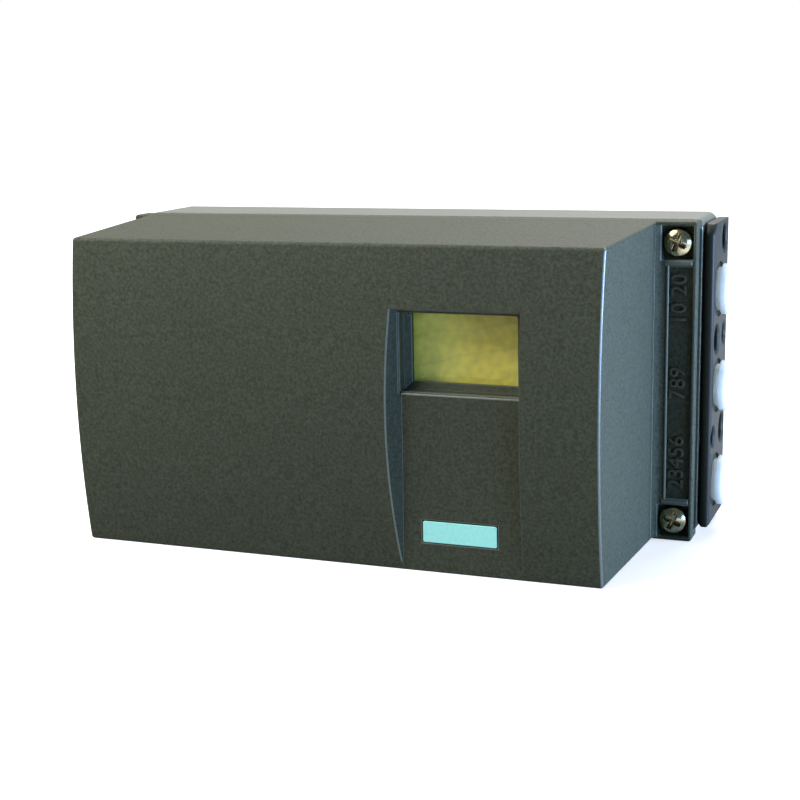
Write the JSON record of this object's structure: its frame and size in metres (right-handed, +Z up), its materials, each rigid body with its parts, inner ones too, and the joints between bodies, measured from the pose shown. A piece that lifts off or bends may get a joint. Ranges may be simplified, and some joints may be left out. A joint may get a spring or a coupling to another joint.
{
  "type": "electropneumatic valve positioner",
  "caption": "Box-shaped electropneumatic positioner for process valves with lift-off cover, stepped window, port strip and rear feedback shaft.",
  "frame": {"origin": "centre of the housing's rear mounting face, at half its width and half its height", "axes": "+X along the housing's length, towards the port strip; +Y out of the rear mounting face, along the feedback shaft; +Z up; the cover faces -Y"},
  "size_m": [0.2112, 0.1055, 0.0954],
  "materials": {
    "grained_polycarbonate": "fine moulded grain",
    "base_polycarbonate": "fine moulded grain",
    "black_anodised_aluminium": "black anodised",
    "zinc_plated_steel": "zinc plated",
    "stainless_steel": "ground",
    "white_polyethylene": "translucent white",
    "clear_polycarbonate": "clear",
    "teal_label": "printed film",
    "black_rubber": "matt",
    "brass": "turned",
    "yellow_acetal": "moulded",
    "white_acetal": "moulded",
    "grey_abs": "moulded",
    "lcd_glass": "liquid crystal display",
    "circuit_board_green": "solder mask",
    "green_polyamide": "moulded",
    "black_polyamide": "moulded",
    "cast_aluminium": "machined casting",
    "sintered_bronze": "porous sintered"
  },
  "bodies": {
    "housing": {"base_housing": "base_polycarbonate", "port_strip": "black_anodised_aluminium", "strip_gasket": "black_rubber", "strip_screw_lower": "zinc_plated_steel", "strip_screw_upper": "zinc_plated_steel", "gland_body": "black_polyamide", "gland_seal": "black_rubber", "blanking_plug_ring": "black_rubber", "ground_screw": "stainless_steel", "shaft_bush": "brass", "shaft_seal": "black_rubber", "potentiometer": "grey_abs", "gear_bracket": "zinc_plated_steel", "bracket_screw_upper": "zinc_plated_steel", "bracket_screw_lower": "zinc_plated_steel", "electronics_tray": "black_polyamide", "module_screw_upper": "zinc_plated_steel", "module_screw_lower": "zinc_plated_steel", "main_board": "circuit_board_green", "module_cover": "grey_abs", "display_glass": "lcd_glass", "valve_block": "cast_aluminium", "valve_screw_upper": "zinc_plated_steel", "valve_screw_lower": "zinc_plated_steel", "pilot_valve": "grey_abs", "silencer": "sintered_bronze", "terminal_board": "circuit_board_green", "terminal_block_lower": "green_polyamide", "terminal_block_upper": "green_polyamide", "terminal_screw_upper": "zinc_plated_steel", "terminal_screw_lower": "zinc_plated_steel"},
    "lifted_cover": {"cover": "grained_polycarbonate", "window_pane": "clear_polycarbonate", "name_plate": "teal_label", "cover_seal": "black_rubber", "cover_screw_left_lower": "zinc_plated_steel", "cover_screw_left_upper": "zinc_plated_steel", "cover_screw_right_lower": "zinc_plated_steel", "cover_screw_right_upper": "zinc_plated_steel"},
    "shaft_group": {"feedback_shaft": "stainless_steel", "shaft_circlip": "stainless_steel", "drive_gear": "white_acetal", "adjusting_wheel": "yellow_acetal"},
    "pinion": {"potentiometer_pinion": "white_acetal"},
    "selector": {"ratio_selector": "yellow_acetal"},
    "left_key": {"key_left": "grey_abs"},
    "middle_key": {"key_middle": "grey_abs"},
    "right_key": {"key_right": "grey_abs"},
    "lower_cap": {"port_cap_lower": "white_polyethylene"},
    "middle_cap": {"port_cap_middle": "white_polyethylene"},
    "upper_cap": {"port_cap_upper": "white_polyethylene"},
    "lower_restrictor": {"restrictor_lower": "brass"},
    "upper_restrictor": {"restrictor_upper": "brass"},
    "purge_slide": {"purge_air_slide": "white_acetal"},
    "dome_nut": {"gland_nut": "black_polyamide"},
    "entry_plug": {"blanking_plug": "black_polyamide"}
  },
  "joints": [
    {"name": "shaft_turn", "type": "hinge", "parent": "housing", "child": "shaft_group", "pos_m": [-0.025, 0, 0], "axis": [0, 1, 0], "range_deg": [-50, 50]},
    {"name": "pinion_turn", "type": "hinge", "parent": "housing", "child": "pinion", "pos_m": [-0.025, 0, 0.0209], "axis": [0, 1, 0], "range_deg": [-150, 150]},
    {"name": "selector_slide", "type": "slide", "parent": "housing", "child": "selector", "axis": [0, 0, -1], "range_m": [0, 0.005]},
    {"name": "left_key_press", "type": "slide", "parent": "housing", "child": "left_key", "axis": [0, 1, 0], "range_m": [0, 0.0008], "stiffness_N_per_m": 300, "springref_m": -0.0003},
    {"name": "middle_key_press", "type": "slide", "parent": "housing", "child": "middle_key", "axis": [0, 1, 0], "range_m": [0, 0.0008], "stiffness_N_per_m": 300, "springref_m": -0.0003},
    {"name": "right_key_press", "type": "slide", "parent": "housing", "child": "right_key", "axis": [0, 1, 0], "range_m": [0, 0.0008], "stiffness_N_per_m": 300, "springref_m": -0.0003},
    {"name": "cover_lift", "type": "slide", "parent": "housing", "child": "lifted_cover", "axis": [0, -1, 0], "range_m": [0, 0.12]},
    {"name": "lower_cap_pull", "type": "slide", "parent": "housing", "child": "lower_cap", "axis": [1, 0, 0], "range_m": [0, 0.012]},
    {"name": "middle_cap_pull", "type": "slide", "parent": "housing", "child": "middle_cap", "axis": [1, 0, 0], "range_m": [0, 0.012]},
    {"name": "upper_cap_pull", "type": "slide", "parent": "housing", "child": "upper_cap", "axis": [1, 0, 0], "range_m": [0, 0.012]},
    {"name": "lower_restrictor_turn", "type": "hinge", "parent": "housing", "child": "lower_restrictor", "pos_m": [0.065, -0.027, -0.01975], "axis": [0, -1, 0], "range_deg": [0, 1080]},
    {"name": "upper_restrictor_turn", "type": "hinge", "parent": "housing", "child": "upper_restrictor", "pos_m": [0.065, -0.027, 0.02025], "axis": [0, -1, 0], "range_deg": [0, 1080]},
    {"name": "purge_slide_move", "type": "slide", "parent": "housing", "child": "purge_slide", "axis": [0, 0, -1], "range_m": [0, 0.004]},
    {"name": "dome_nut_turn", "type": "hinge", "parent": "housing", "child": "dome_nut", "pos_m": [-0.09785, -0.0135, 0.02025], "axis": [-1, 0, 0], "range_deg": [0, 1080]},
    {"name": "entry_plug_turn", "type": "hinge", "parent": "housing", "child": "entry_plug", "pos_m": [-0.09255, -0.0135, -0.02025], "axis": [-1, 0, 0], "range_deg": [0, 1440]}
  ],
  "couplings": [
    {"joint": "pinion_turn", "follows": "shaft_turn", "ratio": -3}
  ]
}
